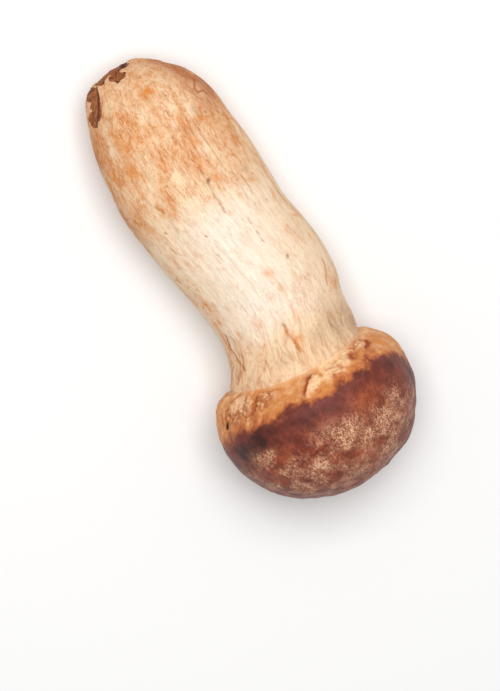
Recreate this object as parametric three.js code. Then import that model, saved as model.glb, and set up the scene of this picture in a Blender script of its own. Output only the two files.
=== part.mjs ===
// A young porcini mushroom, picked and lying on its side: a stout, slightly bent stem whose top is
// seated in a round cap that is still closed around it.
// Millimetres, +Z up. +X runs from the root end to the crown. The origin is under the middle of the
// mushroom, on the surface that it lies on.
import * as THREE from "three";
import { LoftGeometry } from "three/addons/geometries/LoftGeometry.js";

// Sizes along the mushroom. A station is a distance from the root end along its straight axis.
const stemReach = 105.7; // root end to the cap's lip, on average round the stem
const rimDepth = 13.9; // lip to the widest part of the cap
const domeHeight = 29.7; // widest part of the cap to its crown
const seatDepth = 14; // how far the stem's top goes in past the lip
const rootDome = 24; // length of the rounded root end
const apexDome = 8; // length of the stem's rounded top, inside the cap
const bellyStation = 40; // where the stem is fattest
const bendToLip = 24; // the stem's bend, measured back from the lip
const waistToLip = 13; // the stem's waist, measured back from the lip

// Sizes across the mushroom. A girth is half of the stem's width.
const capWidth = 63;
const capThickness = 60.5; // the cap's other diameter, up from the surface
const heelGirth = 20.6; // round the root end
const rootGirth = 21.4; // where the rounded end meets the body
const bellyGirth = 22.9;
const middleGirth = 22.2;
const bendGirth = 21.7;
const waistGirth = 20.2;
const lipGirth = 20.9;
const apexGirth = 19;
const stemFlatness = 0.94; // the stem's thickness as a share of its width

// How far the stem's middle line lies to the side of the straight axis.
const rootSway = -4.2;
const middleSway = 2.2;
const bendSway = 5.3;
const waistSway = 4.7;
const lipSway = 2;
const apexSway = 0.5;

// The lip isn't square to the axis: it lies nearer the crown on top and on the +Y side, and a little
// nearer the root at both sides than its slope alone would put it.
const lipSlant = 1.8;
const lipBow = 1.3;
const lipWave = -0.5;

// The rim's outline is a superellipse: full at the shoulder and nearly straight down to the lip.
const rimFullness = 2.7;
const rimSlope = 1.05;
const domeFullness = 2.1; // the dome is a little fuller than an ellipse, whose fullness would be 2
const crownLean = 0.7; // how far the crown lies to the +Y side

// Gentle unevenness of the outside, as a share of the radius.
const stemSwell = 0.014;
const capSwell = 0.016;
const capSwellTurn = Math.PI / 6; // where round the cap its swell lies
const ovalSwellLength = 15; // how slowly the stem's oval swell changes along it
const lobeSwellLength = 21; // the same for its three-lobed swell

const seatGap = 0.3; // clearance between the stem's top and the cap's socket
const scarDepth = 2.6; // how deep the flat root scar cuts into the root end
const scarTurn = THREE.MathUtils.degToRad(19); // the scar faces this far to the side of -X
const restSink = 0.5; // how far the flesh flattens where it lies on the surface

// Detail of the surfaces.
const sectionPoints = 56;
const rootSections = 8;
const stemBodySections = 24;
const apexSections = 4;
const wallSections = 3;
const rimSections = 9;
const domeSections = 10;
const settlingTurns = 10;

const lipStation = stemReach;
const widestStation = stemReach + rimDepth;
const apexStation = stemReach + seatDepth;
const middleStation = (bellyStation + lipStation - bendToLip) / 2;

// The stem's girth and sway from the root end to its top.
const stemKnots = [
  { station: 0, girth: heelGirth, sway: rootSway },
  { station: rootDome / 2, girth: heelGirth, sway: 0 },
  { station: rootDome, girth: rootGirth, sway: 0 },
  { station: bellyStation, girth: bellyGirth, sway: 0 },
  { station: middleStation, girth: middleGirth, sway: middleSway },
  { station: lipStation - bendToLip, girth: bendGirth, sway: bendSway },
  { station: lipStation - waistToLip, girth: waistGirth, sway: waistSway },
  { station: lipStation, girth: lipGirth, sway: lipSway },
  { station: apexStation, girth: apexGirth, sway: apexSway },
];
const stemForm = new THREE.CubicInterpolant(
  stemKnots.map((knot) => knot.station),
  stemKnots.flatMap((knot) => [knot.girth, knot.sway]),
  2,
);

// A point on the stem's outside. An angle of 0 is the +Y side and a quarter turn is the top. With a
// gap, it is the point of the socket that stays that clear of the stem.
function stemPoint(angle, station, gap = 0) {
  const [girth, sway] = stemForm.evaluate(Math.min(station, apexStation));
  const rootPart = Math.max(0, (rootDome - station) / rootDome);
  const apexPart = Math.max(0, (station - apexStation + apexDome) / (apexDome + gap));
  const rounded = Math.sqrt((1 - rootPart ** 2) * Math.max(0, 1 - apexPart ** 2));
  const swell = 1 + stemSwell * Math.sin(2 * angle) * Math.cos(station / ovalSwellLength)
    + stemSwell * Math.sin(3 * angle) * Math.sin(station / lobeSwellLength);
  const radius = (girth * swell + gap) * rounded;
  return new THREE.Vector3(
    station,
    sway + radius * Math.cos(angle),
    stemFlatness * radius * Math.sin(angle),
  );
}

// The station of the cap's lip at an angle round the stem.
function lipAt(angle) {
  return lipStation + lipSlant * Math.cos(angle) + lipBow * Math.sin(angle)
    + lipWave * Math.cos(2 * angle);
}

// A point on the cap's widest ring.
function widestPoint(angle) {
  const swell = 1 + capSwell * Math.sin(2 * angle + capSwellTurn) * Math.sin(angle);
  return new THREE.Vector3(
    widestStation,
    (capWidth / 2) * swell * Math.cos(angle),
    (capThickness / 2) * swell * Math.sin(angle),
  );
}

// The dome is a quarter superellipse from the widest ring (share 0) to the crown (share 1).
function domePoint(angle, share) {
  const rise = Math.sin((share * Math.PI) / 2);
  const width = (1 - rise ** domeFullness) ** (1 / domeFullness);
  const point = widestPoint(angle);
  return new THREE.Vector3(
    point.x + domeHeight * rise,
    point.y * width + crownLean * rise,
    point.z * width,
  );
}

// The rolled rim runs from the widest ring (share 0) back to the lip (share 1).
function rimPoint(angle, share) {
  const widest = widestPoint(angle);
  const lip = stemPoint(angle, lipAt(angle), seatGap);
  const centre = new THREE.Vector3(widest.x, lip.y, lip.z);
  const out = widest.sub(centre).multiplyScalar((1 - share ** rimFullness) ** rimSlope);
  const back = lip.sub(centre).multiplyScalar(share);
  return centre.add(out).add(back);
}

function ring(pointAt) {
  return Array.from({ length: sectionPoints }, (_, i) => pointAt((i / sectionPoints) * 2 * Math.PI));
}

// Equal steps from a low share to a high one, both included.
function steps(low, high, count) {
  return Array.from({ length: count + 1 }, (_, i) => low + ((high - low) * i) / count);
}

// A quarter turn in equal angles, as shares of a dome's length from its broad end to its pole.
function domeShares(count) {
  return steps(0, 1, count).map((share) => Math.sin((share * Math.PI) / 2));
}

// The stem runs from the root end through the body to its rounded top.
function stemSections() {
  const root = domeShares(rootSections).reverse().map((share) => rootDome * (1 - share));
  const body = steps(rootDome, apexStation - apexDome, stemBodySections).slice(1, -1);
  const apex = domeShares(apexSections).map((share) => apexStation - apexDome * (1 - share));
  return [...root, ...body, ...apex].map((station) => ring((angle) => stemPoint(angle, station)));
}

// The cap runs from the floor of its socket out to the lip, over the rim and up to the crown.
function capSections() {
  const floorDome = apexDome + seatGap;
  const domeStart = apexStation - apexDome;
  const floor = domeShares(apexSections).reverse().map((share) => domeStart + floorDome * share);
  const wall = steps(0, 1, wallSections).slice(1, -1);
  const rim = steps(0, 1, rimSections).reverse();
  const dome = steps(0, 1, domeSections).slice(1);
  return [
    ...floor.map((station) => ring((angle) => stemPoint(angle, station, seatGap))),
    ...wall.map((share) => ring((angle) => {
      const station = THREE.MathUtils.lerp(domeStart, lipAt(angle), share);
      return stemPoint(angle, station, seatGap);
    })),
    ...rim.map((share) => ring((angle) => rimPoint(angle, share))),
    ...dome.map((share) => ring((angle) => domePoint(angle, share))),
  ];
}

// Presses every vertex that lies beyond a plane flat onto it.
function press(geometry, plane) {
  const position = geometry.getAttribute("position");
  const point = new THREE.Vector3();
  for (let i = 0; i < position.count; i++) {
    point.fromBufferAttribute(position, i);
    if (plane.distanceToPoint(point) < 0) plane.projectPoint(point, point);
    position.setXYZ(i, point.x, point.y, point.z);
  }
}

function lowest(geometry) {
  geometry.computeBoundingBox();
  return geometry.boundingBox.min.z;
}

// Turns both pieces about Y until the stem and the cap touch the surface together, then sinks them
// by restSink and flattens what lies below it.
function layDown(stem, cap) {
  const span = widestStation - bellyStation;
  for (let turn = 0; turn < settlingTurns; turn++) {
    const tilt = Math.atan((lowest(stem) - lowest(cap)) / span);
    [stem, cap].forEach((geometry) => geometry.rotateY(-tilt));
  }
  const drop = lowest(cap) + restSink;
  const surface = new THREE.Plane(new THREE.Vector3(0, 0, 1), 0);
  for (const geometry of [stem, cap]) {
    geometry.translate(0, 0, -drop);
    press(geometry, surface);
  }
}

// The scar's plane keeps what lies on the crown's side of it.
function scarPlane() {
  const inwards = new THREE.Vector3(Math.cos(scarTurn), Math.sin(scarTurn), 0);
  const corner = new THREE.Vector3(scarDepth, -bellyGirth / 2, 0);
  return new THREE.Plane().setFromNormalAndCoplanarPoint(inwards, corner);
}

function skin(color, roughness) {
  return new THREE.MeshStandardMaterial({ color, roughness, metalness: 0 });
}

function piece(name, geometry, material) {
  geometry.computeVertexNormals();
  const mesh = new THREE.Mesh(geometry, material);
  mesh.name = name;
  return mesh;
}

const stemGeometry = new LoftGeometry(stemSections());
press(stemGeometry, scarPlane());
const capGeometry = new LoftGeometry(capSections());
layDown(stemGeometry, capGeometry);

const mushroom = new THREE.Group();
mushroom.add(piece("stem", stemGeometry, skin(0xf0d6b0, 0.75)));
mushroom.add(piece("cap", capGeometry, skin(0x8f4f33, 0.6)));

const middle = new THREE.Box3().setFromObject(mushroom).getCenter(new THREE.Vector3());
[stemGeometry, capGeometry].forEach((geometry) => geometry.translate(-middle.x, -middle.y, 0));

export default mushroom;
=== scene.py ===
# %% [markdown]
# # A young porcini mushroom, picked and laid on its side
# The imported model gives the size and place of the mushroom's two organs: a stout stem, and a round
# cap that is still closed around the stem's top. This lesson grows a skin over each of them.
# Each piece starts as a ring of points that is extruded along the mushroom, takes its form from the
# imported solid, is made fine enough to carve, is carved and painted, and gets its own finish.

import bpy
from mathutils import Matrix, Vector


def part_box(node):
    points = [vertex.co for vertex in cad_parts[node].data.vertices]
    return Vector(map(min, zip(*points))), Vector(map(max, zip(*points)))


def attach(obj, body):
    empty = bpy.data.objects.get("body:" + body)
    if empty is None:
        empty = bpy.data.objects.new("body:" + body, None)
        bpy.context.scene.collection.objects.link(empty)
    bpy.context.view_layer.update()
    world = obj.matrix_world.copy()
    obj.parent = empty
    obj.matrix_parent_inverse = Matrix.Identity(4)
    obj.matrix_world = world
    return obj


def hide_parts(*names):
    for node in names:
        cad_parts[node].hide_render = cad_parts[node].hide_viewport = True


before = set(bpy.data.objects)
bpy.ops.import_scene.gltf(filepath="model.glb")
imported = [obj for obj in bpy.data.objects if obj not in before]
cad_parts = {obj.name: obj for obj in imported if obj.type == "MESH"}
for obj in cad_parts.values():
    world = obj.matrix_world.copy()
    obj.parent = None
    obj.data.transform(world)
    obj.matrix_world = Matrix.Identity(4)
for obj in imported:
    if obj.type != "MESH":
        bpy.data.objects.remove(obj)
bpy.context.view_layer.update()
print("packed nodes:", sorted(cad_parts))

# %% [markdown]
# ## The mushroom's own axis
# Lengths along a mushroom are easier to think about from its root end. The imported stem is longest
# along its axis, so the axis is the long direction of its points, seen from the side. Everything
# below is said in millimetres in that frame: the station from the root end, the distance across
# and the distance up from the axis.

# %% Measure the axis
import math

import bpy
import numpy as np
from mathutils import Matrix, Vector, noise
from mathutils.bvhtree import BVHTree

MM = 0.001


def points_of(thing):
    """The places of an object's points, as rows of numbers"""
    places = np.empty(len(thing.data.vertices) * 3)
    thing.data.vertices.foreach_get("co", places)
    return places.reshape(-1, 3)


stem_points = points_of(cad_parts["stem"])
cap_points = points_of(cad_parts["cap"])
spread = stem_points - stem_points.mean(0)
tilt = 0.5 * math.atan2(2 * (spread[:, 0] * spread[:, 2]).sum(),
                        (spread[:, 0] ** 2).sum() - (spread[:, 2] ** 2).sum())
own_axes = np.array([[math.cos(tilt), 0, math.sin(tilt)],
                     [0, 1, 0],
                     [-math.sin(tilt), 0, math.cos(tilt)]])
axis_foot = stem_points.mean(0) * (1, 0, 1)
root = axis_foot + own_axes[0] * ((stem_points - axis_foot) @ own_axes[0]).min()


def to_own(places):
    """Station, across and up in millimetres, of places in the row's frame"""
    return (places - root) @ own_axes.T / MM


def from_own(places):
    """Places in the row's frame, of stations, acrosses and ups in millimetres"""
    return np.asarray(places, float) * MM @ own_axes + root


crown_station = to_own(cap_points)[:, 0].max()
lip_station = to_own(cap_points)[:, 0].min()
stem_end = to_own(stem_points)[:, 0].max()
print(f"tilt {math.degrees(tilt):.2f} degrees, crown at {crown_station:.1f} mm, "
      f"lip from {lip_station:.1f} mm, stem ends at {stem_end:.1f} mm")

# %% [markdown]
# The stem bends a little to one side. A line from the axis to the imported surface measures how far
# the surface is on each side, and half the difference is the sway of the stem's middle line.

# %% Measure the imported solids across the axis
def tree_of(thing):
    """An object's faces, ready to be hit by a line"""
    mesh = thing.data
    return BVHTree.FromPolygons([v.co for v in mesh.vertices], [p.vertices for p in mesh.polygons])


packed = {name: tree_of(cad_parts[name]) for name in ("stem", "cap")}


def reach(tree, station, turn):
    """Distance from the axis to a surface, at a turn that starts at the +Y side and goes over the top"""
    way = Vector(own_axes[1] * math.cos(turn) + own_axes[2] * math.sin(turn))
    start = Vector(from_own((station, 0, 0)))
    hit = tree.ray_cast(start + way * 0.1, -way, 0.1)[0]
    return (hit - start).length / MM if hit else 0.0


def middle_and_girth(name, station):
    """How far the middle of a section lies across, and half of the section's width"""
    left = reach(packed[name], station, 0)
    right = reach(packed[name], station, math.pi)
    return (left - right) / 2, (left + right) / 2


sway_stations = np.linspace(20, stem_end - 4, 26)
sways = np.array([middle_and_girth("stem", s)[0] for s in sway_stations])
print("sway of the stem's middle, mm:", sways.round(1))

# %% [markdown]
# ## Camera, floor and light
# The camera looks down on the mushroom from a little towards its root end, and is rolled so that
# the cap lies low and to the right. A long lens keeps the picture calm. The floor is plain and pale,
# and one large soft lamp near the camera leaves the sides a little darker, as in a light tent.

# %% Camera
camera_rise = math.radians(80)
camera_roll = math.radians(60)
camera_distance = 1.185
aim = Vector((0.0205, -0.0084, 0.026))

back = Vector((-math.cos(camera_rise), 0, math.sin(camera_rise)))
along = Vector((math.sin(camera_rise), 0, math.cos(camera_rise)))
side = Vector((0, 1, 0))
right = along * math.cos(camera_roll) + side * math.sin(camera_roll)
up = side * math.cos(camera_roll) - along * math.sin(camera_roll)

camera = bpy.data.objects.new("camera", bpy.data.cameras.new("camera"))
bpy.context.scene.collection.objects.link(camera)
camera.data.lens = 200
camera.data.clip_start = 0.05
camera_turn = Matrix((right, up, back)).transposed().to_4x4()
camera.matrix_world = Matrix.Translation(aim + back * camera_distance) @ camera_turn
bpy.context.scene.camera = camera
print("camera at", tuple(round(v, 3) for v in camera.matrix_world.translation))

# %% Places as the camera sees them
axis_nearer = 0.009
axis_distance = camera_distance - axis_nearer


def seen(places):
    """Station and distance across at which the camera sees places of the mushroom's own frame"""
    away = from_own(places) - np.array(aim + back * camera_distance)
    spread_out = axis_distance / -(away @ np.array(back)) / MM
    middle = to_own(np.array(aim))
    return np.stack([middle[0] + away @ np.array(along) * spread_out,
                     middle[1] + away @ np.array(side) * spread_out], -1)


print("the camera sees the crown at", seen(np.array((crown_station, 0, 0))).round(1), "mm")

# %% Floor
bpy.ops.object.select_all(action="DESELECT")
bpy.ops.mesh.primitive_plane_add(size=4)
floor = bpy.context.object
floor.name = "floor"

# %% Lamp
bpy.context.scene.view_settings.view_transform = "Standard"


def soft_lamp(name, place, width, power):
    """A square soft lamp, turned to the middle of the mushroom"""
    lamp = bpy.data.objects.new(name, bpy.data.lights.new(name, "AREA"))
    bpy.context.scene.collection.objects.link(lamp)
    lamp.data.size = width
    lamp.data.energy = power
    lamp.location = aim + place
    lamp.rotation_euler = place.to_track_quat("Z", "Y").to_euler()


soft_lamp("key", back * 0.9 - along * 0.06 + side * 0.07, width=0.5, power=7.2)

world = bpy.data.worlds.new("tent")
world.use_nodes = True
world.node_tree.nodes["Background"].inputs["Color"].default_value = (1, 0.99, 0.975, 1)
world.node_tree.nodes["Background"].inputs["Strength"].default_value = 0.4
bpy.context.scene.world = world

# %% [markdown]
# ## Rings for a cage
# Both organs are round in section, so both start as one ring of points. The ring is extruded along
# the axis and resized again and again, which leaves an even net of four-sided faces. The end that
# shows is filled with a grid, so that no fan of thin faces meets in one point there.

# %% Extrude a cage, ring by ring
SUBDIVISIONS = 3
SAME_RING = 0.01


def start_cage(name, sides, ring):
    """A circle at the first ring: a station, how far its middle lies across, and its girth"""
    station, across, girth = ring
    bpy.ops.object.select_all(action="DESELECT")
    bpy.ops.mesh.primitive_circle_add(vertices=sides, radius=girth * MM,
                                      location=from_own((station, across, 0)),
                                      rotation=(0, math.pi / 2 - tilt, 0))
    piece = bpy.context.object
    piece.name = name
    piece.data.name = name
    bpy.ops.object.mode_set(mode="EDIT")
    bpy.ops.mesh.select_all(action="SELECT")
    return piece


def extrude_rings(rings):
    """Extrudes the selected ring through the list's other rings"""
    for was, now in zip(rings, rings[1:]):
        step = from_own((now[0], now[1], 0)) - from_own((was[0], was[1], 0))
        bpy.ops.mesh.extrude_region_move(TRANSFORM_OT_translate={"value": Vector(step)})
        bpy.ops.transform.resize(value=(now[2] / was[2],) * 3,
                                 center_override=Vector(from_own((now[0], now[1], 0))))


def close_in_point():
    """Draws the selected ring together in one point"""
    bpy.ops.mesh.extrude_region_move()
    bpy.ops.mesh.merge(type="CENTER")


def close_with_grid(piece, sides, ring):
    """Fills the ring at a station with a grid of four-sided faces"""
    bpy.ops.mesh.select_all(action="DESELECT")
    bpy.ops.object.mode_set(mode="OBJECT")
    stations = ring_stations(piece)
    for vertex, station in zip(piece.data.vertices, stations):
        vertex.select = bool(abs(station - ring[0]) < SAME_RING)
    bpy.ops.object.mode_set(mode="EDIT")
    bpy.ops.mesh.select_mode(type="VERT")
    bpy.ops.mesh.fill_grid(span=sides // 4)


def ring_stations(piece):
    """The station of each point of a piece whose object may still be turned"""
    turn = np.array(piece.matrix_world)
    return to_own(points_of(piece) @ turn[:3, :3].T + turn[:3, 3])[:, 0]


def finish_cage(piece, packed_node):
    """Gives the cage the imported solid's form and makes it fine enough to carve"""
    bpy.ops.mesh.select_all(action="SELECT")
    bpy.ops.mesh.normals_make_consistent(inside=False)
    bpy.ops.object.mode_set(mode="OBJECT")
    bpy.ops.object.transform_apply(location=True, rotation=True, scale=True)
    wrap = piece.modifiers.new("form", "SHRINKWRAP")
    wrap.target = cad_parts[packed_node]
    wrap.wrap_method = "NEAREST_SURFACEPOINT"
    bpy.ops.object.modifier_apply(modifier="form")
    fine = piece.modifiers.new("fine", "SUBSURF")
    fine.levels = SUBDIVISIONS
    fine.render_levels = SUBDIVISIONS
    bpy.ops.object.modifier_apply(modifier="fine")
    bpy.ops.object.shade_smooth()
    print(f"{piece.name}: {len(piece.data.vertices)} points, {2 * len(piece.data.polygons)} triangles")


# %% [markdown]
# ## The stem's cage
# The stem is a bent, slightly bellied club with a rounded root end. The rings lie closer together
# where it is rounded, and those that the cap hides are few.

# %% Model the stem
STEM_SIDES = 40
stem_stations = [2.2, 3.7, 5.6, 7.9, 10.6, 13.6, 16.9, 20.4]
stem_stations += list(np.linspace(24, 107, 23))
stem_stations += [110.5, 114, 117]
stem_rings = [(station, *middle_and_girth("stem", station)) for station in stem_stations]
stem = start_cage("porcini_stem", STEM_SIDES, stem_rings[0])
extrude_rings(stem_rings)
close_in_point()
close_with_grid(stem, STEM_SIDES, stem_rings[0])
finish_cage(stem, "stem")

# %% [markdown]
# ## The cap's cage
# The cap is a ball that is flattened towards the crown. The rings run from the crown over the
# widest part to the lip, and then in along the socket that holds the stem's top. The lip isn't
# square to the axis, so the rings near it are slanted afterwards, each point by its own amount.

# %% Find the cap's lip all the way round
lip_turns = np.linspace(-math.pi, math.pi, 73)
lip_search = np.arange(lip_station - 0.5, lip_station + 9, 0.1)
lip_stations = [min(s for s in lip_search if reach(packed["cap"], s, turn) > 0) for turn in lip_turns]
mean_lip = np.mean(lip_stations)
print(f"the lip lies from {min(lip_stations):.1f} to {max(lip_stations):.1f} mm, "
      f"on average at {mean_lip:.1f} mm")

# %% Model the cap
CAP_SIDES = 56
cap_width = (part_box("cap")[1].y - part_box("cap")[0].y) / MM
cap_girth = cap_width / 2
widest_station = max(np.linspace(lip_station + 8, crown_station - 20, 60),
                     key=lambda s: middle_and_girth("cap", s)[1])
crown_grid_girth = 12.5
dome = crown_station - widest_station
first_turn = math.acos(crown_grid_girth / cap_girth)
cap_rings = [(widest_station + dome * math.sin(turn), 0, cap_girth * math.cos(turn))
             for turn in np.linspace(first_turn, 0, 12)]
lip_across, lip_girth = middle_and_girth("stem", mean_lip)
rim = widest_station - mean_lip
cap_rings += [(widest_station - rim * math.sin(turn),
               lip_across * math.sin(turn),
               lip_girth + (cap_girth - lip_girth) * math.cos(turn) + 0.3)
              for turn in np.linspace(0, math.pi / 2, 8)[1:]]
cap_rings += [(mean_lip + 1.6, lip_across, lip_girth + 0.25), (stem_end - 7, lip_across / 2, lip_girth - 1),
              (stem_end - 3, lip_across / 3, 14.5)]
cap = start_cage("porcini_cap", CAP_SIDES, cap_rings[0])
extrude_rings(cap_rings)
close_in_point()
close_with_grid(cap, CAP_SIDES, cap_rings[0])

# %% Slant the rim to the lip
bpy.ops.object.mode_set(mode="OBJECT")
bpy.ops.object.transform_apply(location=True, rotation=True, scale=True)
cage = to_own(points_of(cap))
rim_share = np.clip((widest_station - cage[:, 0]) / rim, 0, 1)
cage_turn = np.arctan2(cage[:, 2], cage[:, 1])
cage[:, 0] += rim_share * (np.interp(cage_turn, lip_turns, lip_stations) - mean_lip)
cap.data.vertices.foreach_set("co", from_own(cage).ravel())
bpy.ops.object.mode_set(mode="EDIT")
finish_cage(cap, "cap")

# %% [markdown]
# ## Tools for carving and painting
# A mushroom's skin is uneven at every size, from dents as wide as a thumb to fibres as thin as a
# hair. What is wider than about half a millimetre is carved into the mesh, so that it also shows on
# the outline, and the rest is left to the finish. Each helper below gives one number for each point:
# smooth noise, a spot at a place, or a line along a path. Carving and painting both use them.

# %% Noise, spots and lines
def ripple(places, size, seed, octaves=1):
    """Smooth noise of about -1 to 1 whose bumps are so wide: a number, or along, across and up"""
    shifted = places / np.asarray(size, float) + seed * np.array([7.3, 3.1, 5.7])
    return 2 * np.array([noise.fractal(p, 1.0, 2.0, octaves) for p in shifted.tolist()])


def cells(places, size, seed):
    """How near each point is to the border between two cells of that width: 0 is on the border"""
    shifted = places / np.asarray(size, float) + seed * np.array([2.3, 9.1, 4.7])
    nearest = np.array([noise.voronoi(p)[0][:2] for p in shifted.tolist()])
    return nearest[:, 1] - nearest[:, 0]


def smooth(value, low, high):
    """Rises smoothly from 0 at the low value to 1 at the high one"""
    share = np.clip((value - low) / (high - low), 0, 1)
    return share * share * (3 - 2 * share)


class Skin:
    """A piece's points in its own straightened frame, in millimetres, ready to be marked"""

    def __init__(self, places, shows=True):
        self.places = places
        self.seen = seen(places)
        self.upper = np.where((places[:, 2] > 0) & shows)[0]
        wobble = [ripple(places, 2.6, seed) * 0.5 + ripple(places, 0.9, seed + 3) * 0.2 for seed in (1, 2, 3)]
        self.wobbly = places + np.stack(wobble, 1)

    def top(self, station, across):
        """The place on the upper side that the camera sees at a station and a distance across"""
        gap = (self.seen[self.upper, 0] - station) ** 2 + (self.seen[self.upper, 1] - across) ** 2
        return self.places[self.upper[gap.argmin()]]

    def spot(self, station, across, length, width):
        """A soft spot of that length and width, with a wavering edge"""
        away = (self.wobbly - self.top(station, across)) ** 2
        return np.exp(-away[:, 0] / length ** 2 - (away[:, 1] + away[:, 2]) / width ** 2)

    def spots(self, rows):
        """The strongest of several spots, each with its strength last"""
        return np.max([self.spot(*row[:4]) * row[4] for row in rows], axis=0)

    def line(self, path, width, wavering=0.5):
        """A line along a path of stations and acrosses"""
        places = self.places * (1 - wavering) + self.wobbly * wavering
        stops = [self.top(*stop) for stop in path]
        nearest = np.full(len(places), np.inf)
        for start, end in zip(stops, stops[1:]):
            run = end - start
            share = np.clip((places - start) @ run / max(run @ run, 1e-9), 0, 1)
            nearest = np.minimum(nearest, ((places - start - share[:, None] * run) ** 2).sum(1))
        return np.exp(-nearest / width ** 2)

    def lines(self, rows):
        """The strongest of several lines, each a path, a width and a strength"""
        return np.max([self.line(path, width) * strength for path, width, strength in rows], axis=0)

    def patch(self, outline, soft):
        """1 inside an outline of stations and acrosses on the upper side, with a ragged edge"""
        x, y = (self.seen + self.wobbly[:, :2] - self.places[:, :2]).T
        inside = np.zeros(len(x), bool)
        nearest = np.full(len(x), np.inf)
        for (ax, ay), (bx, by) in zip(outline, outline[1:] + outline[:1]):
            run_x = bx - ax
            run_y = by - ay
            inside ^= ((ay > y) != (by > y)) & (x < run_x * (y - ay) / (run_y + 1e-12) + ax)
            share = np.clip(((x - ax) * run_x + (y - ay) * run_y) / (run_x ** 2 + run_y ** 2), 0, 1)
            nearest = np.minimum(nearest, np.hypot(x - ax - share * run_x, y - ay - share * run_y))
        depth = np.where(inside, nearest, -nearest)
        above = self.places[:, 2] + 3 * (self.wobbly[:, 2] - self.places[:, 2])
        return smooth(depth, -soft, soft) * smooth(above, -5.5, -4.5)


def carve(piece, depths):
    """Moves each point out along its normal by so many millimetres"""
    normals = np.empty(len(depths) * 3)
    piece.data.vertices.foreach_get("normal", normals)
    moved = points_of(piece) + normals.reshape(-1, 3) * depths[:, None] * MM
    place(piece, moved)


def place(piece, places):
    """Gives a piece's points new places, none of them under the floor"""
    places[:, 2] = np.maximum(places[:, 2], 0)
    piece.data.vertices.foreach_set("co", places.ravel())
    piece.data.update()


def store(piece, name, values):
    """Keeps one number or one place for each point, for the finish to read"""
    kind = "FLOAT_VECTOR" if values.ndim == 2 else "FLOAT"
    layer = piece.data.attributes.new(name, kind, "POINT")
    layer.data.foreach_set("vector" if values.ndim == 2 else "value", values.astype(np.float32).ravel())


# %% [markdown]
# ## The stem's surface
# The fibres of the stem run along it and follow its bend, so the stem is first straightened in
# numbers: the sway of its middle line is taken off. Its form has long shallow furrows, grooves round
# the neck where the cap presses on it, small torn scales on the side that rubbed in the soil, a few
# creases, and at the root end the sunken scars where the ground skin was peeled off.

# %% Straighten the stem in numbers
stem_own = to_own(points_of(stem))
stem_straight = stem_own.copy()
stem_straight[:, 1] -= np.interp(stem_own[:, 0], sway_stations, sways)
hidden_station = 112
stem_skin = Skin(stem_own, stem_own[:, 0] < hidden_station)
stem_turn = np.arctan2(stem_straight[:, 2], stem_straight[:, 1])
station, across = stem_own[:, 0], stem_own[:, 1]
print("stem's points are straightened, widest across:", stem_straight[:, 1].max().round(1), "mm")

# %% Marks on the stem
stem_creases = [
    (((27.5, 2.8), (31, 3.3), (33, 4.1), (37, 4.6), (41, 5), (45, 5.6), (50, 5.2), (56, 5.2)), 0.26, 0.6),
    (((29, 5.5), (33, 5.6), (37, 5.3)), 0.28, 0.6),
    (((24, 9.6), (30, 9.4)), 0.28, 0.5),
    (((29, 8.9), (34, 9.2), (40, 9)), 0.25, 0.45),
    (((15.8, 17.6), (17.2, 16.9), (18.4, 16.3), (19.4, 16.6), (19.9, 17.8), (20.6, 18.4), (21.7, 18.6)),
     0.3, 0.95),
    (((18.6, 16.4), (20.5, 16.8)), 0.25, 0.7),
    (((23, 18.2), (26, 18.5), (28.3, 18.9)), 0.35, 0.6),
    (((25.5, 11.5), (28, 11.7), (30.5, 11.4)), 0.25, 0.5),
    (((48.8, 15.5), (52, 15.6), (55, 15.4)), 0.28, 0.5),
    (((46, 12.8), (50, 13.6), (56, 13.2)), 0.25, 0.4),
    (((88.5, -13.2), (93, -14), (98, -13.6), (101, -13.2)), 0.4, 0.9),
    (((90, -12), (96, -12.5), (101, -14.5), (105, -18)), 0.35, 0.6),
    (((98, -15.5), (102, -18), (105.3, -22)), 0.4, 0.7),
    (((96, -12), (100, -13.2), (104, -16.4)), 0.35, 0.6),
    (((100, -5.4), (104, -8), (106.5, -11)), 0.3, 0.45),
    (((99, 21), (102, 19.4), (104.6, 19.2)), 0.3, 0.5),
    (((98, 17), (101, 16), (104.4, 17)), 0.3, 0.45),
    (((94.5, 3.4), (99, 3.8), (104.5, 4)), 0.4, 0.5),
    (((83, 24), (87, 23), (91, 21.2)), 0.35, 0.5),
    (((27, 7.5), (32, 7.4), (37.6, 7.2)), 0.28, 0.6),
    (((26.5, 10.9), (33, 11.2), (40, 11.6), (44.7, 11.9)), 0.28, 0.55),
    (((61, 10.6), (66, 10.6), (69.7, 11)), 0.28, 0.6),
    (((44.2, -12), (47, -10.6)), 0.3, 0.45),
    (((20, 5.2), (24, 5.9), (27.6, 5.6)), 0.28, 0.5),
]
stem_torn = [
    (((32.7, -8.8), (34.2, -6.2)), 0.3, 0.6),
    (((55.8, -11.4), (57.4, -10)), 0.25, 0.7),
    (((67, -12.8), (68.7, -11)), 0.25, 0.8),
    (((75, -12), (76.2, -10.8)), 0.25, 0.7),
    (((44.2, -9.2), (45.3, -7.6)), 0.25, 0.5),
]
stem_specks = [
    (11.7, 10.1, 0.5), (23.8, 12, 0.42), (26, 16, 0.4), (19.5, 20, 0.5), (28.2, 18.9, 0.5),
    (44.8, 5.8, 0.6), (47.3, 16.3, 0.45), (52.5, -13.3, 0.6), (59.5, 18.4, 0.4), (67, 0.7, 0.45),
    (65.9, -3.3, 0.4), (58.8, -3, 0.35), (77, 15.3, 0.55), (78, -15.1, 0.6), (89.5, -12.8, 0.35),
    (38.2, -7.1, 0.35), (25.2, -11.2, 0.5), (13, -5.5, 0.35), (99.8, 13.7, 0.35), (78, 26, 0.4),
    (73.2, 9.4, 0.3),
]
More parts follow.
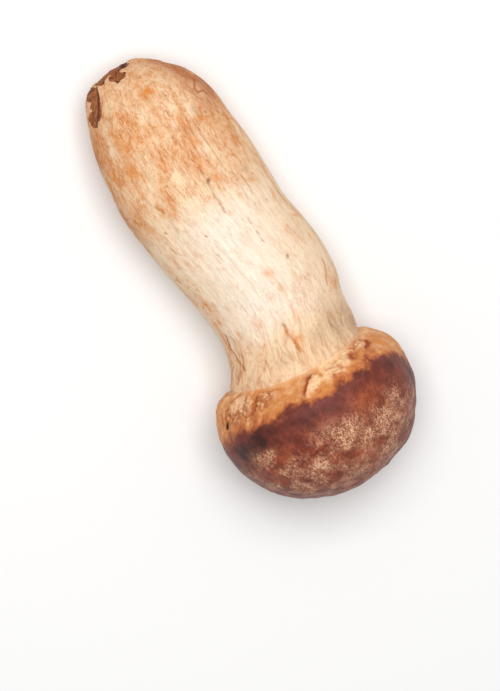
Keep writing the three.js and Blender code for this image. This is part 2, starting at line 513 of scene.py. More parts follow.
stem_stains = [
    (12, 3.2, 1.5, 1.6, 0.9), (9.2, 1.2, 1.4, 0.9, 0.55), (20, 2.6, 2.2, 0.6, 0.55),
    (18.8, -4.5, 1.5, 0.9, 0.5), (27.3, 13.2, 1.1, 1.7, 0.5), (32.5, 8, 2.3, 1.1, 0.55),
    (34.3, 6.9, 0.6, 0.6, 0.7), (25.5, 1.1, 1, 0.8, 0.45), (30, -1.4, 1.8, 0.6, 0.45),
    (24, -12, 3.6, 2.2, 0.55), (31, -13, 3.6, 1.8, 0.6), (34, -11, 2.2, 0.7, 0.65),
    (45, -11.3, 2.8, 0.7, 0.65), (41.5, -15.7, 1.6, 0.7, 0.6), (49.6, -17, 2.2, 1.4, 0.55),
    (53, -16.4, 1.2, 0.5, 0.5), (51.6, 17.6, 0.8, 2, 0.45), (53.6, 12, 1.2, 0.8, 0.45),
    (30, -18.3, 5, 0.6, 0.6), (36.5, -19.4, 1.8, 0.9, 0.7), (31, -21, 2.6, 0.6, 0.7), (60, 21, 4, 0.6, 0.5),
    (67, 23.2, 0.9, 1.8, 0.5), (75.6, 24.4, 2.2, 0.7, 0.65), (87, 23, 3.4, 0.6, 0.6),
    (89.6, 22, 1.6, 0.5, 0.6), (79.2, 7.5, 2, 1.3, 0.4), (84, 8.8, 2, 0.9, 0.35), (93, 8.2, 4, 0.7, 0.4),
    (97, 3.6, 2.6, 0.6, 0.6), (102, 4.3, 3, 0.8, 0.85), (101, 5.8, 0.9, 0.8, 0.6), (68, 3, 2.4, 0.5, 0.3),
    (91, -9.6, 2, 0.8, 0.45), (96, -9.4, 1.3, 0.5, 0.45), (91, -3, 1.8, 1.6, 0.3),
    (78.6, -13.6, 1.6, 0.9, 0.9), (84, -13, 1.7, 0.8, 0.7), (86, -14.2, 1.2, 0.5, 0.65),
    (64, -13, 1.8, 0.8, 0.5), (66.9, -17.4, 1.1, 0.7, 0.85), (58.5, -17, 1.4, 0.8, 0.5),
    (77, -16.4, 2, 0.5, 0.7), (63.2, -8.5, 1.5, 0.8, 0.3), (94, -14.4, 6, 0.8, 0.6),
    (17.5, -12.6, 2.4, 1.2, 0.35), (40.5, -8.8, 1.8, 0.8, 0.35), (57, 6.4, 0.8, 1, 0.35),
    (46, 8, 2.4, 0.8, 0.3), (41, 11.2, 1, 0.7, 0.3), (82, -8.8, 1.2, 0.6, 0.4),
    (72.6, -13.6, 1.6, 0.6, 0.4),
]
root_scars = [
    [(-1.5, 3.6), (1.3, 3), (2.6, 1), (2.2, -1.5), (2, -4.5), (2.3, -6.5), (3.4, -7.2), (3, -8.5),
     (2.2, -9.6), (-1.5, -9.6)],
    [(2.4, -1), (3.2, -0.6), (3.7, 0.2), (4.4, 0.1), (4.7, -1.8), (5.3, -3.2), (4.4, -4), (4, -5),
     (2.4, -5.1), (1.8, -3)],
    [(3.2, -9), (5, -9.8), (7.5, -10.6), (9.5, -12), (11.5, -13), (13, -14.6), (14.4, -16.4), (13.3, -16.6),
     (12.4, -17.2), (10.6, -16.6), (9.4, -15.4), (8.8, -14.4), (7.6, -15.2), (7, -14.4), (6, -13.6),
     (5.2, -14.4), (3.9, -14), (2.8, -12.2), (2.4, -10.2)],
]
creases = stem_skin.lines(stem_creases)
torn = stem_skin.lines(stem_torn)
specks = stem_skin.spots([(s, a, size * 0.75, size * 0.75, 1) for s, a, size in stem_specks])
stains = stem_skin.spots(stem_stains)
scars = np.max([stem_skin.patch(outline, 0.25) for outline in root_scars], axis=0)
scar_edges = stem_skin.lines([
    (((0.6, 3), (1, 1.6), (1.8, 0.4), (2.1, -1.4)), 1.1, 1.0),
    (((3.4, 0), (4.2, -1.6), (5, -3.2), (4.4, -4)), 0.4, 0.8),
    (((2.4, -2), (3.1, -3.6), (2.6, -4.8)), 0.35, 0.7), (((2.2, -6.6), (3.1, -8)), 0.4, 0.8),
    (((3.6, -9.7), (6, -10.7), (9, -12.4), (12, -14.5), (13.9, -16.2)), 0.55, 1.0),
    (((3.2, -11), (4, -13.4), (5.6, -14.3)), 0.5, 0.9),
    (((8.4, -14.4), (10.2, -15.4), (12.4, -16.8)), 0.4, 0.8),
])
# Painted shade: the flanks that turn sideways are painted darker brown, on the +Y side of the root end and
# along the -Y edge between 12 and 58 mm.
sideways = np.cos(stem_turn)
uneven = 0.75 + 0.3 * ripple(stem_straight, (8, 5, 5), 26, 3)
root_shade = smooth(sideways, 0.5, 0.93) * smooth(station, 1, 6) * (1 - smooth(station, 17, 32)) * uneven
low_edge_shade = smooth(-sideways, 0.72, 1.0) * smooth(station, 12, 22) * (1 - smooth(station, 44, 58)) * uneven
# Tan streaks that run along the neck's lower flank and along the upper outline; part of their darkness is
# painted shade at the stem's edges.
flank_streaks_and_shade = stem_skin.lines([
    (((84, -14.8), (92, -14.6), (98, -16.4), (102, -19), (104.6, -23)), 1.6, 0.8),
    (((92, -11.4), (98, -12.2), (103, -15)), 1.1, 0.5), (((48, 22.4), (58, 22.6), (68, 24.4)), 1.2, 0.5),
])
print(f"marks on the stem: {len(stem_creases)} creases, {len(stem_specks)} specks, {len(stem_stains)} stains")

# %% Furrows, grooves and scales of the stem
furrows = ripple(stem_straight, (26, 2.6, 2.6), 11, 2)
fibres = ripple(stem_straight, (9, 0.9, 0.9), 12)
lumps = ripple(stem_straight, 15, 13)
dimples = ripple(stem_straight, 1.7, 14, 2)
neck = smooth(station, 86, 104)
underside_rub = smooth(-across, 6, 16) * smooth(station, 12, 24) * (1 - smooth(station, 76, 90))

lane = np.floor(stem_turn * 22 / 1.7 + ripple(stem_straight, 9, 15) * 1.5)
lane_start = np.array([noise.cell((value * 1.37, 0.5, 0.5)) for value in lane.tolist()])
scale_run = station / 5.2 + lane_start * 7 + ripple(stem_straight, 6, 16) * 0.7
scale_rise = (scale_run - np.floor(scale_run)) ** 3
scales = scale_rise * smooth(ripple(stem_straight, (7, 3, 3), 17), 0.0, 0.5) * underside_rub

neck_wander = np.stack([ripple(stem_straight, 7, seed) for seed in (22, 23, 24)], 1)
neck_way = stem_straight + neck_wander * (0, 1.1, 1.1)
neck_grooves = -(1 - smooth(np.abs(ripple(neck_way, (12, 1.5, 1.5), 18)), 0, 0.3)) * neck
# The flesh flares out where it runs into the cap: (turn, height of the flare), most on top.
flare_stops = (
    (-2.4, 1.4), (-1.6, 1.4), (-0.5, 0.8), (0, 0.4), (0.6, 1.5), (1.2, 2.3), (1.8, 2.2), (2.5, 1.8),
    (3.14, 1.4),
)
flare_height = np.interp(stem_turn, *zip(*flare_stops), period=2 * math.pi)
to_lip = np.interp(stem_turn, lip_turns, lip_stations) - station
flare = flare_height * np.exp(-np.maximum(to_lip, 0) / (1 + 1.5 * flare_height)) * (1 - smooth(-to_lip, 2, 7))
stem_swells = (
    (1.5, 4, 2.5, 4, 1.0), (3.5, 8.5, 3, 4, 0.7), (3, -12.5, 2, 4, 0.8), (40, 23, 8, 6, 0.6),
    (60, 24.2, 5, 6, -0.4), (89, 26, 4, 6, 0.6), (103, 23.4, 4, 6, 0.6), (60, -20, 6, 6, 0.4),
    (35, -22.7, 4, 6, -0.6), (104.5, -21.4, 2, 5, 0.8),
)
stem_swell = sum(stem_skin.spot(*row[:4]) * row[4] for row in stem_swells)
crease_banks = stem_skin.lines([(path, width * 2.6, 0.08) for path, width, _ in stem_creases])
scar_depth = 0.45 - 0.12 * ripple(stem_straight, (3, 0.8, 0.8), 19)
depths = (flare + stem_swell + lumps * 0.2 + furrows * 0.07 + fibres * 0.03 + dimples * 0.03
          + scales * 0.3 + neck_grooves * 0.2 - creases * 0.12 + crease_banks + torn * 0.25
          - specks * 0.15 - scars * scar_depth)
carve(stem, depths)
print(f"stem carved from {depths.min():.2f} to {depths.max():.2f} mm")

# %% Paint the stem
root_warmth = 1 - smooth(station, 28, 62)
# Painted shade: the stem grows warmer and darker towards its edges, where its sides turn away from the lamp.
edge_shade = smooth(np.abs(stem_straight[:, 1]), 14, 22)
patchy = ripple(stem_straight, (9, 5, 5), 21, 3)
warm = np.clip(0.52 * root_warmth + 0.12 * edge_shade + patchy * 0.24 + flank_streaks_and_shade * 0.4, 0, 1)
# Painted highlight: the middle of the stem's upper face, where the lamp falls most fully, is painted whiter.
painted_highlight = smooth(station, 44, 58) * (1 - smooth(station, 88, 100)) * np.exp(-((across - 2) / 16) ** 2) * 0.9
# Painted shade: the neck is painted grey near the cap, where it runs under it; the smaller spots are grey
# marks of the skin.
grey_marks_and_neck_shade = stem_skin.spots([
    (102, 17.5, 7, 6, 0.6), (104.5, 22, 5, 5, 0.75), (100, 22, 5, 3, 0.6), (103, 11, 4, 4, 0.5),
    (24, 13, 2.4, 1.2, 0.35), (47.5, 17.5, 2, 1, 0.35), (66, 7, 3, 2, 0.2), (104, -1, 3, 3, 0.3),
])
store(stem, "grown", stem_straight * MM)
store(stem, "warm", warm)
store(stem, "painted_highlight", np.clip(painted_highlight, 0, 1))
store(stem, "stain_and_flank_shade", np.clip(stains * 1.5 + scales * 0.5 + flank_streaks_and_shade * 0.6, 0, 1))
store(stem, "shade", np.clip(root_shade + 0.55 * low_edge_shade, 0, 1))
store(stem, "mark", np.clip(creases * 1.15, 0, 1))
store(stem, "speck", np.clip(specks, 0, 1))
store(stem, "scar", scars)
store(stem, "scar_edge", np.clip(scar_edges, 0, 1))
store(stem, "neck", np.clip(grey_marks_and_neck_shade, 0, 1))
store(stem, "groove", np.clip(-neck_grooves, 0, 1))
creamy_neck = stem_skin.spot(108, 12, 4, 5)
collar_ends = smooth(to_lip + ripple(stem_straight, 5, 25, 2) * 2, 0, 13)
store(stem, "collar", (1 - collar_ends) * (1 - 0.7 * creamy_neck))
print("stem painted")

# %% [markdown]
# ## The cap's surface
# The cap's brown skin ends short of the lip. Between them lies a pale, folded margin, where the skin
# was torn as the cap grew and where it still presses on the stem. The lip hugs the stem with a thin
# apron, the margin is carved in folds with a flap, a few lumps and a hole, and the brown skin stands
# a little proud of the margin and looks lightly hammered.

# %% Straighten the cap in numbers
cap_own = to_own(points_of(cap))
cap_turn = np.arctan2(cap_own[:, 2], cap_own[:, 1])
cap_radius = np.hypot(cap_own[:, 1], cap_own[:, 2])
cap_station = cap_own[:, 0]
cap_normals = np.empty(cap_own.size)
cap.data.vertices.foreach_get("normal", cap_normals)
cap_normals = cap_normals.reshape(-1, 3) @ own_axes.T
faces_out = cap_normals[:, 1] * np.cos(cap_turn) + cap_normals[:, 2] * np.sin(cap_turn)

# %% Fit the lip to the stem
LIP_REACH = 0.15
stem_surface = tree_of(stem)
past_lip = cap_station - np.interp(cap_turn, lip_turns, lip_stations)
near_stem = (cap_station < widest_station) & (cap_radius < 28)
stem_radius = np.zeros(len(cap_own))
stem_radius[near_stem] = [reach(stem_surface, *place_round)
                          for place_round in zip(cap_station[near_stem], cap_turn[near_stem])]
in_socket = near_stem & (faces_out < -0.2)
slope = np.clip(np.sin(cap_turn), 0, 1) * smooth(past_lip, 0, 3) * (1 - smooth(past_lip, 4, 12)) * ~in_socket
cap_radius = cap_radius - 2.2 * slope
clearance = np.where(near_stem, cap_radius - stem_radius, 9)
at_lip = (1 - smooth(clearance, 0.3, 2.2)) * (1 - smooth(past_lip, 0.8, 3.0))
new_radius = cap_radius - (clearance + LIP_REACH) * at_lip
wall = in_socket & (past_lip > 0.8)
new_radius[wall] = (stem_radius - LIP_REACH + 0.3 * smooth(past_lip, 0.8, 2.4))[wall]
cap_own[:, 1:] *= (new_radius / np.maximum(np.hypot(cap_own[:, 1], cap_own[:, 2]), 1e-6))[:, None]
place(cap, from_own(cap_own))
print(f"lip fitted: {wall.sum()} points of the socket, {(at_lip > 0.5).sum()} points of the lip")

# %% [markdown]
# The brown skin starts a different way past the lip at each side. Its edge is given as a few stops
# round the cap, and noise makes it blotchy. The named marks below it are the margin's own: a torn
# flap, pale patches, brown creases along the wrinkles, and a small hole.

# %% Where the brown skin starts
skin_starts_above = (
    (31, 121.5), (29, 119), (27, 117), (24, 115.6), (20, 117), (15, 117), (10, 118), (5, 119.4), (1, 118.6),
    (-4, 117), (-9, 116.6), (-14, 117.6), (-19, 116.3), (-25, 116.2), (-31, 116.5),
)
skin_starts_below = ((-3.0, 117.5), (-2.4, 116.8), (-1.8, 118.4), (-1.2, 117.2), (-0.6, 118.6))
edge_stops = sorted([(math.acos(across / cap_girth), start) for across, start in skin_starts_above]
                    + list(skin_starts_below))
edge = np.interp(cap_turn, *zip(*edge_stops), period=2 * math.pi)
past_edge = seen(cap_own)[:, 0] - edge + ripple(cap_own, 3.6, 31, 3) * 1.3 + ripple(cap_own, 1, 32) * 0.6
brown = np.clip((past_edge + 2.4) / 6, 0, 1)
in_the_open = smooth(clearance, 0.3, 1.6) * ~in_socket
cap_skin = Skin(cap_own, ~in_socket)
print(f"brown skin covers {np.mean(brown[~in_socket] > 0.5):.0%} of the cap's open points")

# %% Marks on the cap
cream_patches = [
    [(111.6, 3.4), (113.6, 5.4), (115.8, 5.2), (116.6, 3.4), (117.4, 1), (117.7, -1.4), (116.8, -1.7),
     (115.2, -0.1), (113.6, 1.2)],
    [(106, 17.5), (110, 17.6), (113.4, 16.4), (116.2, 14.8), (116.8, 9.6), (116.2, 6.4), (112.4, 5.8),
     (109.6, 7.4), (106, 9)],
    [(107.2, -17.6), (110.2, -17), (112.2, -18.4), (112.6, -20.6), (111.4, -23), (109.2, -22.4),
     (107.6, -20.4)],
]
margin_creases = [
    (((111.2, 3.4), (112.2, 2.1), (113.4, 1.2), (114.8, -0.2), (116.2, -1.6)), 0.35, 1.0),
    (((112, 2.6), (112.9, 1.9)), 0.7, 0.9),
    (((114.4, 12.9), (113.7, 10.8), (113.1, 8.4)), 0.3, 0.5),
    (((115.2, 12.4), (114.9, 9.6)), 0.25, 0.4),
    (((105.3, -17), (105.4, -19.6), (105.9, -22.3), (106.9, -24.6)), 0.35, 0.55),
    (((106.5, -15.5), (106.8, -19), (107.7, -22), (109.4, -24.6), (111.4, -26.4)), 0.35, 0.65),
    (((108.6, -8.8), (109.2, -10.4)), 0.55, 0.9),
    (((109.6, -11.6), (111.6, -10.4), (113, -11.2)), 0.3, 0.55),
    (((111.4, -13.8), (112.6, -12.6), (113.9, -13.4)), 0.4, 0.7),
    (((109.8, -14.2), (110.8, -15.6), (112.2, -16.6), (113.4, -16.9)), 0.4, 0.9),
    (((112.6, -14.6), (114.2, -15.8)), 0.3, 0.6),
    (((113.6, -18.2), (115.2, -18.8), (116.6, -18.4)), 0.45, 0.9),
    (((112.2, -21), (113.6, -20.4), (115, -21.6)), 0.3, 0.6),
    (((111.4, -23.4), (112.6, -22.4), (113.6, -23.8), (114.9, -22.8)), 0.3, 0.7),
    (((112.6, -25), (114, -24.4), (115.4, -24.6)), 0.3, 0.6),
    (((108.2, -17.4), (109.8, -18.2), (111, -19.8), (112.8, -19)), 0.32, 0.8),
    (((112.4, -17.2), (113.6, -18.8), (113.2, -20)), 0.3, 0.7),
    (((109.4, -20.4), (110.6, -21.8), (112.2, -22.2), (113.6, -21.8)), 0.3, 0.7),
    (((108.4, -23.4), (110.2, -24.6), (112.4, -24)), 0.32, 0.7),
    (((109.6, -26.4), (111.4, -27.4), (114, -27)), 0.34, 0.6),
    (((113.4, -26), (115, -26.8), (116.2, -26)), 0.3, 0.6),
    (((109.6, 20.4), (110.8, 19), (112.4, 18.6), (114.6, 18.2)), 0.3, 0.6),
    (((113, 17.2), (113.8, 16.4), (114.6, 16.9)), 0.7, 0.9),
    (((111.6, 23.4), (112.8, 23.2), (113.9, 22.2), (115.4, 22.4)), 0.55, 1.0),
    (((109, 22), (110.4, 21.2), (111.4, 21.8)), 0.3, 0.5),
    (((107, 20.4), (108.4, 19.2), (109.2, 17.6)), 0.3, 0.4),
]
folded = cap_skin.spots([
    (111, -12, 4.5, 4.5, 1), (112, -18, 5, 5, 1), (112, -24, 5, 5, 0.9), (111, 20, 5, 4.5, 0.9),
    (110, 25, 4, 3, 0.5), (112, 12, 3, 4, 0.35), (110, 2, 3, 4, 0.35),
])
hole = cap_skin.line(((112.6, -26.9), (113, -27.2)), 1.3, 0.2)
margin_marks = cap_skin.lines([(path, width * 1.7, strength) for path, width, strength in margin_creases])
margin_lines = cap_skin.lines(margin_creases)
cream_and_ridge_highlight = np.max([cap_skin.patch(outline, 1.1) for outline in cream_patches], axis=0)
flap = cap_skin.patch(cream_patches[0], 0.5)
print(f"marks on the margin: {len(margin_creases)} creases, {len(cream_patches)} pale patches and a hole")

# %% Folds, dents and crackle of the cap
below = smooth(-cap_own[:, 2] + 3 * ripple(cap_own, 9, 47, 2), 0, 12)
folded = np.maximum(folded, 0.7 * below * smooth(ripple(cap_own, 9, 33), -0.3, 0.3))
warped = cap_own + np.stack([ripple(cap_own, 3.2, seed) for seed in (34, 35, 36)], 1) * 1.3
wrinkle = np.abs(ripple(warped, (2.6, 3.2, 3.2), 37, 2))
margin = (1 - smooth(past_edge, -2.2, 0.6)) * in_the_open
puffs = smooth(wrinkle, 0, 0.45) - 0.6
# The bottoms of the margin's folds, which are painted brown below as shade.
fold_bottom_shade = (1 - smooth(wrinkle, 0.02, 0.16)) * folded * margin
bloom = cap_skin.spots([
    (136, 17, 4.6, 6, 1), (134, 5, 4, 6.5, 0.85), (137, 10, 4, 4, 0.9), (138, -8, 4.6, 5.4, 0.8),
    (136.5, -15, 4.2, 2.6, 0.9), (143, 12, 3, 4.4, 0.7), (145, 1, 2.4, 6, 0.6), (132, 21, 3.6, 4.4, 0.7),
    (131, -1, 3, 5, 0.5), (128, -23, 3, 3.4, 0.75), (140, 18, 3, 4, 0.7), (143, -13, 2.6, 2.8, 0.55),
    (136.6, -22, 1.6, 1.2, 0.7), (127.4, -20, 1.6, 2, 0.8),
])
bloom = np.maximum(bloom, 0.45 * smooth(cap_station, 125, 133) * smooth(ripple(cap_own, 6, 45, 3), -0.6, 0.5))
bloom *= 0.25 + 0.75 * smooth(cap_own[:, 2] + 2 * ripple(cap_own, 5, 48), 2, 13)
bloom_below = 0.7 * below * smooth(cap_station, 126, 138) * smooth(ripple(cap_own, 11, 38, 3), -0.3, 0.6)
bloom_grain = ripple(cap_own, 4, 39, 3) * 0.25 * smooth(cap_station, 124, 130)
bloom = np.clip(np.maximum(bloom, bloom_below) + bloom_grain, 0, 1)
pits = 1 - smooth(cells(cap_own, 1.15, 40), 0, 0.3)
broad = ripple(cap_own, 11, 41)
hammered = ripple(cap_own, 4, 42, 2)
swells = (
    (106.3, -25, 2.6, 6, 1.9), (109.5, -28.3, 2.6, 6, 0.8), (126, 31, 5, 6, 0.4), (141.5, 22, 4, 6, 0.5),
    (107, 24.2, 2.4, 5, 0.35), (116.5, 31.5, 4, 6, 0.25), (147, 11.5, 3, 5, -0.9),
    (145.5, -14, 2.4, 5, -0.5),
)
swell = sum(cap_skin.spot(*row[:4]) * row[4] for row in swells)
cap_depths = in_the_open * (swell + broad * 0.2 + hammered * 0.11 + brown * 0.15 - pits * bloom * 0.09
                            + margin * (puffs * (0.15 + 0.6 * folded) - margin_lines * 0.4) + flap * 0.3
                            - hole * 1.1)
carve(cap, cap_depths)
print(f"cap carved from {cap_depths.min():.2f} to {cap_depths.max():.2f} mm")

# %% Paint the cap
# The purple-brown patches are the skin's own colour; the spots along the cap's outline are painted shade.
dark_and_rim_shade = cap_skin.spots([
    (121.4, -20, 4.2, 6.5, 1.0), (122.5, -26, 3.6, 5, 1.05), (119, -15, 2, 3, 0.6), (122, -8, 5, 6, 0.3),
    (119.6, 25, 2.6, 3, 0.45), (119.4, 31, 2.4, 1.6, 0.9), (131, -13, 1.4, 1, 0.5),
    (119.5, -4, 2.4, 3, 0.3), (119, 16, 1.6, 3, 0.3), (128, -29, 5, 3, 0.6), (136, -25, 5, 2.4, 0.4),
    (128, 29.5, 7, 2, 0.5), (143, 21, 4, 2, 0.3), (148, 12, 2, 5, 0.25),
])
dark_and_rim_shade = np.maximum(dark_and_rim_shade, 0.7 * below * smooth(cap_station, 117, 119) * (1 - smooth(cap_station, 122, 128)))
dark_and_rim_shade = np.clip(dark_and_rim_shade + ripple(cap_own, 3, 43, 3) * 0.22, 0, 1) * brown
ember = cap_skin.spots([
    (127, 13, 3.4, 5, 0.9), (126, 18, 3, 2.4, 0.6), (141, 6.6, 2.6, 3.4, 0.9), (139, -2.5, 3, 2, 0.7),
    (136, -20, 4, 2.4, 0.5), (130, -17, 3, 4, 0.35), (108.6, -12.6, 1.6, 2.6, 0.95),
    (109, 5.4, 1.4, 2, 0.7), (113.6, 26.4, 2.6, 1.6, 0.9), (118, 9, 1.4, 6, 0.4), (117.4, 3, 1, 2, 0.5),
    (107.6, -15.6, 0.9, 3, 0.6), (112, -5.4, 2.4, 2.6, 0.45), (124, 27, 3, 3, 0.3),
    (116.5, -28, 2.4, 2, 0.6), (111, 24.6, 2, 2, 0.5),
])
pale_lip = 1 - smooth(past_lip, 1, 5.5)
# Painted highlight: the raised ridges of the margin's folds are painted paler cream, over the real cream
# patches and lip.
cream_and_ridge_highlight = np.clip(np.maximum(cream_and_ridge_highlight, 0.4 * pale_lip)
                + margin * ((puffs + 0.2) * 0.9 * folded + ripple(cap_own, 2.4, 44, 2) * 0.3), 0, 1)
# Brown along the margin's creases, and painted shade in the bottoms of its folds.
fold_brown_and_shade = np.clip(np.maximum(margin_marks, fold_bottom_shade * 0.9) * margin, 0, 1)
store(cap, "grown", cap_own * MM)
store(cap, "brown", brown)
store(cap, "cream_and_ridge_highlight", cream_and_ridge_highlight)
store(cap, "dark_and_rim_shade", dark_and_rim_shade)
store(cap, "band", smooth(past_edge, 0, 2) * (1 - smooth(past_edge, 6, 13)))
store(cap, "ember", np.clip(ember, 0, 1))
store(cap, "bloom", bloom * brown)
store(cap, "mark", fold_brown_and_shade)
store(cap, "folded", np.clip(0.25 + 0.75 * folded, 0, 1) * margin)
store(cap, "collar", 1 - smooth(past_lip + ripple(cap_own, 3, 46, 2), 0, 3))
store(cap, "hole", hole * in_the_open)
print("cap painted")

# %% [markdown]
# ## Finishes
# Each finish is a small sum of colours. The painted numbers say where, and noise that is finer than
# the mesh breaks them up. So that such a sum reads like one, a small class lets a node's output be
# added, multiplied and so on like a number, and one method makes every other kind of node.

# %% A bench for finishes
def paint(red, green, blue):
    """A colour given from 0 to 255, as Blender's linear numbers"""
    shares = (value / 255 for value in (red, green, blue))
    return tuple(v / 12.92 if v <= 0.04045 else ((v + 0.055) / 1.055) ** 2.4 for v in shares) + (1.0,)


class Wire:
    """A node's output that sums like a number: each operator adds one Math node"""

    def __init__(self, bench, socket):
        self.bench = bench
        self.socket = socket

    def math(self, operation, first, second):
        return self.bench.node("ShaderNodeMath", {"operation": operation}, {0: first, 1: second})

    def __add__(self, other):
        return self.math("ADD", self, other)

    def __radd__(self, other):
        return self.math("ADD", other, self)

    def __sub__(self, other):
        return self.math("SUBTRACT", self, other)

    def __rsub__(self, other):
        return self.math("SUBTRACT", other, self)

    def __mul__(self, other):
        return self.math("MULTIPLY", self, other)

    def __rmul__(self, other):
        return self.math("MULTIPLY", other, self)


class Bench:
    """The nodes of one finish"""

    def __init__(self, name):
        self.finish = bpy.data.materials.new(name)
        self.finish.use_nodes = True
        self.tree = self.finish.node_tree
        self.surface = self.tree.nodes["Principled BSDF"]

    def node(self, kind, settings, inputs, output=0):
        """Adds a node: its settings first, then its sockets, and gives one of its outputs"""
        made = self.tree.nodes.new(kind)
        for name, value in settings.items():
            setattr(made, name, value)
        self.feed(made, inputs)
        return Wire(self, made.outputs[output])

    def feed(self, node, inputs):
        """Gives a node's sockets their values or links"""
        for name, value in inputs.items():
            if isinstance(value, Wire):
                self.tree.links.new(value.socket, node.inputs[name])
            else:
                node.inputs[name].default_value = value

    def painted(self, name, output="Fac"):
        """What was stored on the piece's points under this name"""
        return self.node("ShaderNodeAttribute", {"attribute_name": name}, {}, output)

    def grain(self, size, detail=2.0, roughness=0.5, distortion=0.0, seed=0.0):
        """Noise of 0 to 1 on the piece as it grew, its bumps so many millimetres long, wide and high"""
        scale = tuple(1000 / value for value in size)
        shift = (seed, seed * 1.7, seed * 2.3)
        place = self.node("ShaderNodeMapping", {}, {"Vector": self.painted("grown", "Vector"),
                                                    "Scale": scale, "Location": shift})
        return self.node("ShaderNodeTexNoise", {}, {"Vector": place, "Scale": 1.0, "Detail": detail,
                                                    "Roughness": roughness, "Distortion": distortion})

    def rise(self, value, low, high):
        """Rises smoothly from 0 at the low value to 1 at the high one"""
        return self.node("ShaderNodeMapRange", {"interpolation_type": "SMOOTHSTEP"},
                         {"Value": value, "From Min": low, "From Max": high})

    def seams(self, value, width):
        """Thin wavering lines, where a noise passes its middle value"""
        away = value - 0.5
        return self.rise(away * away, width * width, 0.0)

    def blend(self, amount, first, second):
        """The first colour where the amount is 0 or less and the second where it is 1 or more"""
        settings = {"data_type": "RGBA", "clamp_factor": True}
        return self.node("ShaderNodeMix", settings, {0: amount, 6: first, 7: second}, 2)

    def coats(self, ground, coats):
        """Lays coats over a ground colour, in order, each an amount and a colour"""
        for amount, colour in coats:
            ground = self.blend(amount, ground, colour if isinstance(colour, Wire) else paint(*colour))
        return ground

    def bump(self, height, depth_mm):
        """A surface normal from a height of 0 to 1"""
        return self.node("ShaderNodeBump", {}, {"Strength": 1.0, "Distance": depth_mm * MM, "Height": height})


print("white paint:", paint(255, 255, 255))

# %% [markdown]
# ## The stem's finish
# The flesh of the stem is cream, warmer and more orange towards the root end. Towards the edges it is
# warmer and darker as painted shade, and a painted highlight whitens the middle of its upper face.
# Rubbed skin leaves orange smudges, pale and dark threads lie along the fibres, thin orange lines wander
# over them, and bruises and soil leave brown specks. Painted shade also darkens the flanks, and greys
# the neck where it runs under the cap. Such a skin is painted as a cook would glaze it: coat over coat,
# each with its own amount and colour.
# A little light goes into the flesh and comes out beside where it went in, which keeps the small
# shadows soft and warm, so the finish has some subsurface scattering.

# %% Colour of the stem
bench = Bench("stem_skin_finish")
streaks = bench.grain((6, 0.55, 0.55), 4, 0.6, 0.7)
threads = bench.grain((3, 0.32, 0.32), 3, 0.6, 0.6, 4)
mottle = bench.grain((5, 3, 3), 3, 0.55, 0.5, 3)
smudges = bench.grain((3.6, 1.5, 1.5), 5, 0.74, 1.3, 7)
speckle = bench.grain((0.8, 0.5, 0.5), 3, 0.65, 0.4, 9)
long_lines = bench.seams(bench.grain((10, 1.5, 1.5), 2, 0.55, 1.2, 15), 0.034)
short_lines = bench.seams(bench.grain((2.6, 1.1, 1.1), 2, 0.6, 1.6, 17), 0.04)
scar_streaks = bench.grain((2.6, 0.5, 0.5), 4, 0.7, 1.0, 12)
warm = bench.painted("warm")
warmth = warm + (mottle - 0.5) * 0.8 + (streaks - 0.5) * 0.7 + (smudges - 0.5)
# Smudges and lines are fainter under the painted highlight.
plain = 1 - 0.55 * bench.painted("painted_highlight")
around = bench.blend(mottle, paint(248, 214, 178), paint(232, 182, 136))
scar_skin = bench.coats(paint(112, 54, 28), [
    (bench.rise(scar_streaks, 0.36, 0.62), (192, 116, 66)),
    (bench.painted("scar_edge") * (0.5 + scar_streaks), (72, 32, 22)),
])
flesh = bench.coats(paint(246, 216, 178), [
    (warmth, (226, 156, 98)),
    # The painted highlight in the middle of the stem.
    (bench.painted("painted_highlight") * (1.45 - mottle), (252, 238, 220)),
    (bench.painted("collar") * (0.1 + streaks), around),
    (bench.rise(smudges + 0.16 * warm, 0.56, 0.76) * (0.16 + 0.6 * warm) * plain, (208, 124, 56)),
    (bench.rise(threads, 0.58, 0.74) * 0.45, (255, 232, 204)),
    (bench.rise(threads, 0.42, 0.3) * (0.15 + 0.35 * warm), (210, 134, 70)),
    (long_lines * bench.rise(mottle, 0.42, 0.58) * (0.26 + 0.45 * warm) * plain, (200, 116, 46)),
    (short_lines * bench.rise(smudges, 0.44, 0.58) * (0.25 + 0.5 * warm) * plain, (196, 110, 42)),
    # Grey painted shade on the neck under the cap, with a few grey marks.
    (bench.painted("neck") * (0.6 + threads * 0.8), (190, 158, 130)),
    (bench.painted("groove") * 0.45, (196, 138, 92)),
    # Stains and scales, and the flank streaks with their painted shade.
    (bench.painted("stain_and_flank_shade") * (0.1 + smudges * 1.5), (224, 138, 60)),
    # Painted shade on the flanks.
    (bench.painted("shade") * (0.2 + smudges * 1.3), (184, 106, 54)),
    (bench.painted("mark") * (0.7 + speckle * 0.5), (168, 80, 26)),
    (bench.painted("speck") * 0.9, (104, 50, 22)),
    (bench.rise(bench.painted("scar"), 0.35, 0.6), scar_skin),
])
stem_height = (streaks * 0.35 + threads * 0.25 + smudges * 0.25 + speckle * 0.15
               - long_lines * 0.12 - short_lines * 0.08)
bench.feed(bench.surface, {"Base Color": flesh, "Roughness": 0.8 - 0.2 * mottle,
                           "Normal": bench.bump(stem_height, 0.4), "Specular IOR Level": 0.2,
                           "Subsurface Weight": 0.1, "Subsurface Radius": (2.0, 1.0, 0.5),
                           "Subsurface Scale": MM})
stem.data.materials.append(bench.finish)
print("stem's finish:", len(bench.tree.nodes), "nodes")
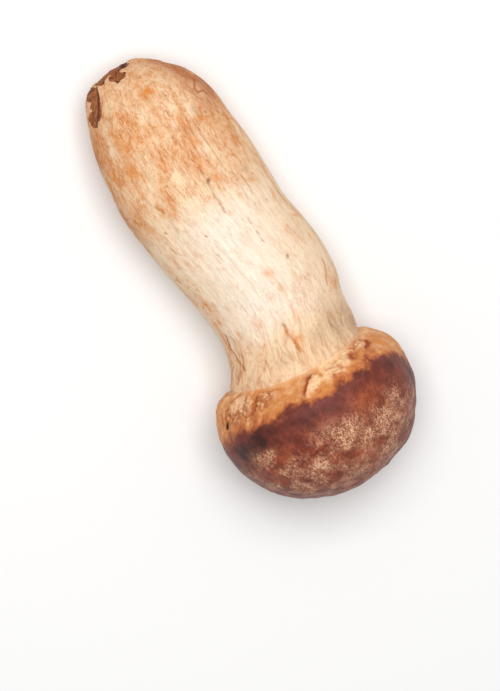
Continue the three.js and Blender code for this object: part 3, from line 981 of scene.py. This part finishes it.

# %% [markdown]
# ## The cap's finish
# The cap has two skins. The margin is ochre to cream flesh with brown in its folds; the paler cream
# on the ridges of the folds is a painted highlight, and the brown deep in the folds is partly painted
# shade. The skin of the dome is red-brown, nearly purple in a band behind the margin, with orange
# patches where it is thin, and a pale bloom towards the crown that is worn to a fine net of specks.
# Spots of painted shade darken the dome along its outline.

# %% Colour of the cap
bench = Bench("cap_skin_finish")
clouds = bench.grain((3.6, 3.6, 3.6), 4, 0.6, 0.4, 2)
soil = bench.grain((1.4, 1.1, 1.1), 4, 0.65, 0.6, 5)
fine = bench.grain((0.5, 0.4, 0.4), 2, 0.6, 0.3, 8)
net = bench.grain((1.1, 0.6, 0.6), 3, 0.65, 1.4, 11)
veins = bench.seams(bench.grain((2.6, 2.2, 2.2), 3, 0.6, 1.6, 14), 0.055) * bench.painted("folded")
around = bench.blend(clouds, paint(240, 200, 158), paint(222, 168, 118))
pale = bench.coats(paint(210, 140, 78), [
    # Cream patches and lip, and the painted highlight on the fold ridges.
    (bench.painted("cream_and_ridge_highlight") + (clouds - 0.5) * 0.8 + (soil - 0.5) * 0.7, (248, 206, 158)),
    (bench.painted("ember") * (0.4 + soil), (216, 126, 50)),
    # Brown creases, and painted shade deep in the folds.
    (bench.painted("mark") * (0.9 + soil * 0.6), (160, 74, 36)),
    (veins * 0.85, (178, 92, 44)),
    (bench.painted("collar") * (0.2 + clouds * 0.6), around),
])
specks = bench.rise(net + (clouds - 0.5) * 0.3, 0.48, 0.58) * bench.painted("bloom")
bark = bench.coats(paint(112, 46, 32), [
    (bench.rise(clouds + (soil - 0.5) * 0.9, 0.34, 0.7), (156, 76, 50)),
    (bench.painted("band") * (1.2 - clouds), (106, 44, 36)),
    # Purple-brown skin, and painted shade along the cap's outline.
    (bench.painted("dark_and_rim_shade") * (1.3 - clouds * 0.5), (56, 24, 20)),
    (bench.painted("ember") * (0.2 + soil * 0.8), (186, 94, 48)),
    (bench.painted("bloom") * (0.2 + clouds * 0.8), (196, 126, 90)),
    (bench.rise(net, 0.5, 0.36) * 0.55, (96, 38, 24)),
    (specks * 0.9, (240, 200, 162)),
])
turned = bench.painted("brown") + (soil - 0.5) * 0.5 + (fine - 0.5) * 0.25
skin_colour = bench.coats(pale, [
    (bench.rise(turned, 0.02, 0.5), (192, 108, 54)),
    (bench.rise(turned, 0.22, 0.88), bark),
    (bench.rise(bench.painted("hole"), 0.3, 0.7), (60, 28, 16)),
])
cap_height = fine * 0.2 + soil * 0.3 + net * (0.15 + 0.3 * bench.painted("brown"))
cap_roughness = 0.6 - 0.1 * bench.painted("brown") + 0.18 * specks
bench.feed(bench.surface, {"Base Color": skin_colour, "Roughness": cap_roughness,
                           "Normal": bench.bump(cap_height, 0.35), "Specular IOR Level": 0.3,
                           "Subsurface Weight": 0.04, "Subsurface Radius": (1.6, 0.8, 0.4),
                           "Subsurface Scale": MM})
cap.data.materials.append(bench.finish)
print("cap's finish:", len(bench.tree.nodes), "nodes")

# %% Floor's finish
bench = Bench("pale_floor")
bench.feed(bench.surface, {"Base Color": (0.9, 0.9, 0.9, 1), "Roughness": 0.9})
floor.data.materials.append(bench.finish)

# %% [markdown]
# ## The pieces on the body
# Both pieces ride on the imported model's one body, and each stands for the imported solid it was grown
# over.

# %% Say what stands for what
for piece, node in ((stem, "stem"), (cap, "cap")):
    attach(piece, "root")
    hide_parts(node)
